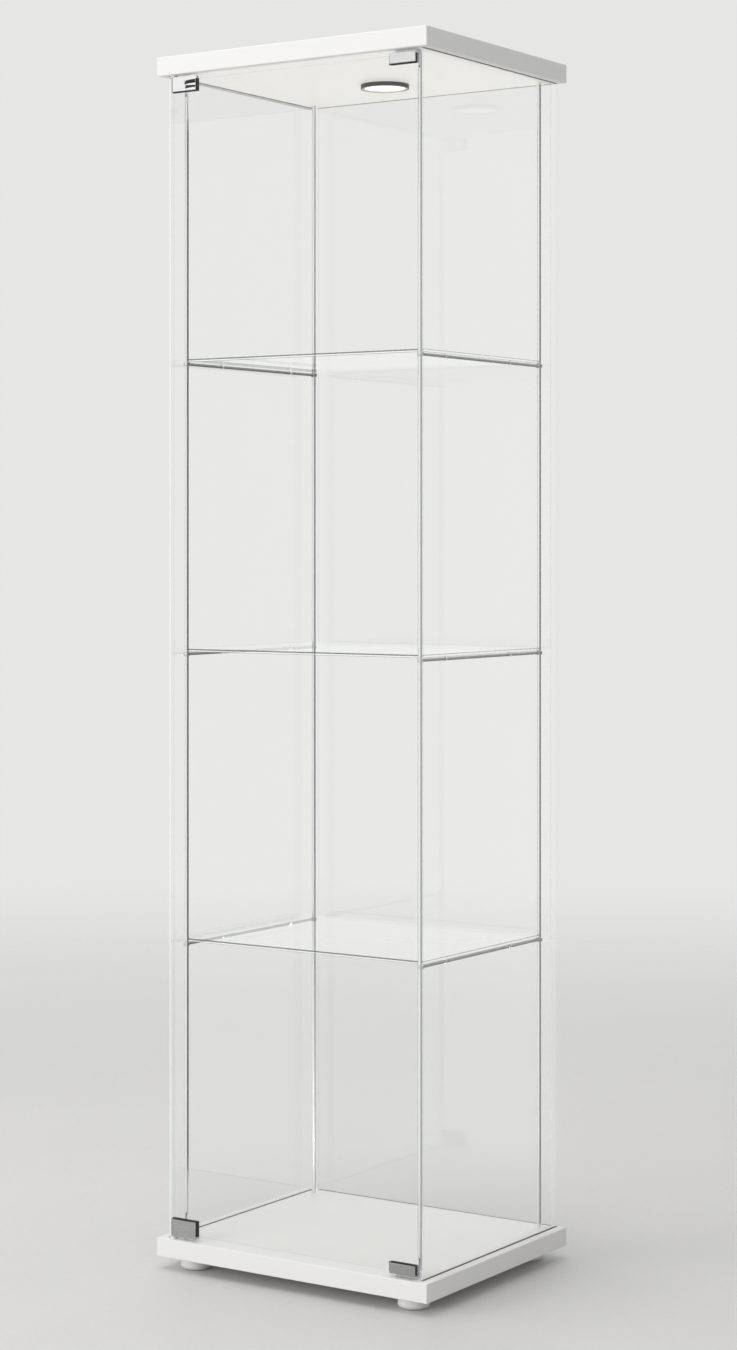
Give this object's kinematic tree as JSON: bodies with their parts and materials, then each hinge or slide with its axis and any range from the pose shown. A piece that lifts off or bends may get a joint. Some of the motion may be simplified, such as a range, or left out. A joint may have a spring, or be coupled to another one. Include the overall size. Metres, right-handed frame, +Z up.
{
  "type": "tower display case",
  "caption": "Tall glass display case with white base and top boards, glass shelves on chromed side rails, a pivot-hung glass door and a spotlight under the top.",
  "frame": {"origin": "on the floor under the middle of the case", "axes": "+Z up; the door faces -Y; its hinges are on the -X side"},
  "size_m": [0.425, 0.365, 1.628],
  "materials": {
    "white_board": "smooth satin foil over particle board",
    "clear_glass": "clear toughened glass with a faint green edge",
    "chrome": "bright polished",
    "satin_steel": "satin, fine grain",
    "plain_steel": "zinc plated",
    "black_rubber": "matt",
    "clear_silicone": "clear, soft",
    "white_plastic": "fine moulded texture",
    "black_paint": "satin black",
    "opal_plastic": "translucent, lit from behind",
    "circuit_board": "white solder mask",
    "magnet": "nickel plated"
  },
  "bodies": {
    "case": {"base_board": "white_board", "top_board": "white_board", "left_side_glass": "clear_glass", "right_side_glass": "clear_glass", "back_glass": "clear_glass", "lower_shelf_glass": "clear_glass", "middle_shelf_glass": "clear_glass", "upper_shelf_glass": "clear_glass", "lower_left_rail": "chrome", "lower_right_rail": "chrome", "middle_left_rail": "chrome", "middle_right_rail": "chrome", "upper_left_rail": "chrome", "upper_right_rail": "chrome", "front_left_post_1": "chrome", "front_left_post_2": "chrome", "front_left_post_3": "chrome", "front_left_post_4": "chrome", "front_right_post_1": "chrome", "front_right_post_2": "chrome", "front_right_post_3": "chrome", "front_right_post_4": "chrome", "back_left_post_1": "chrome", "back_left_post_2": "chrome", "back_left_post_3": "chrome", "back_left_post_4": "chrome", "back_right_post_1": "chrome", "back_right_post_2": "chrome", "back_right_post_3": "chrome", "back_right_post_4": "chrome", "shelf_rings": "clear_silicone", "post_studs": "plain_steel", "post_screws": "chrome", "lower_hinge_bush": "white_plastic", "upper_hinge_bush": "white_plastic", "lower_catch_housing": "white_plastic", "upper_catch_housing": "white_plastic", "catch_magnets": "magnet", "front_left_foot": "white_plastic", "front_right_foot": "white_plastic", "back_left_foot": "white_plastic", "back_right_foot": "white_plastic", "wood_screws": "plain_steel", "light_housing": "black_paint", "light_bezel": "satin_steel", "light_diffuser": "opal_plastic", "light_board": "circuit_board", "cable_gland": "white_plastic", "wall_plate": "satin_steel"},
    "door": {"door_glass": "clear_glass", "lower_hinge_clip": "chrome", "lower_hinge_liner": "black_rubber", "lower_hinge_pin": "plain_steel", "lower_strike_plate": "satin_steel", "lower_strike_liner": "black_rubber", "upper_hinge_clip": "chrome", "upper_hinge_liner": "black_rubber", "upper_hinge_pin": "plain_steel", "upper_strike_plate": "satin_steel", "upper_strike_liner": "black_rubber"}
  },
  "joints": [
    {"name": "door_hinge", "type": "hinge", "parent": "case", "child": "door", "pos_m": [-0.1916, -0.171, 0.8225], "axis": [0, 0, -1], "range_deg": [0, 110]}
  ]
}
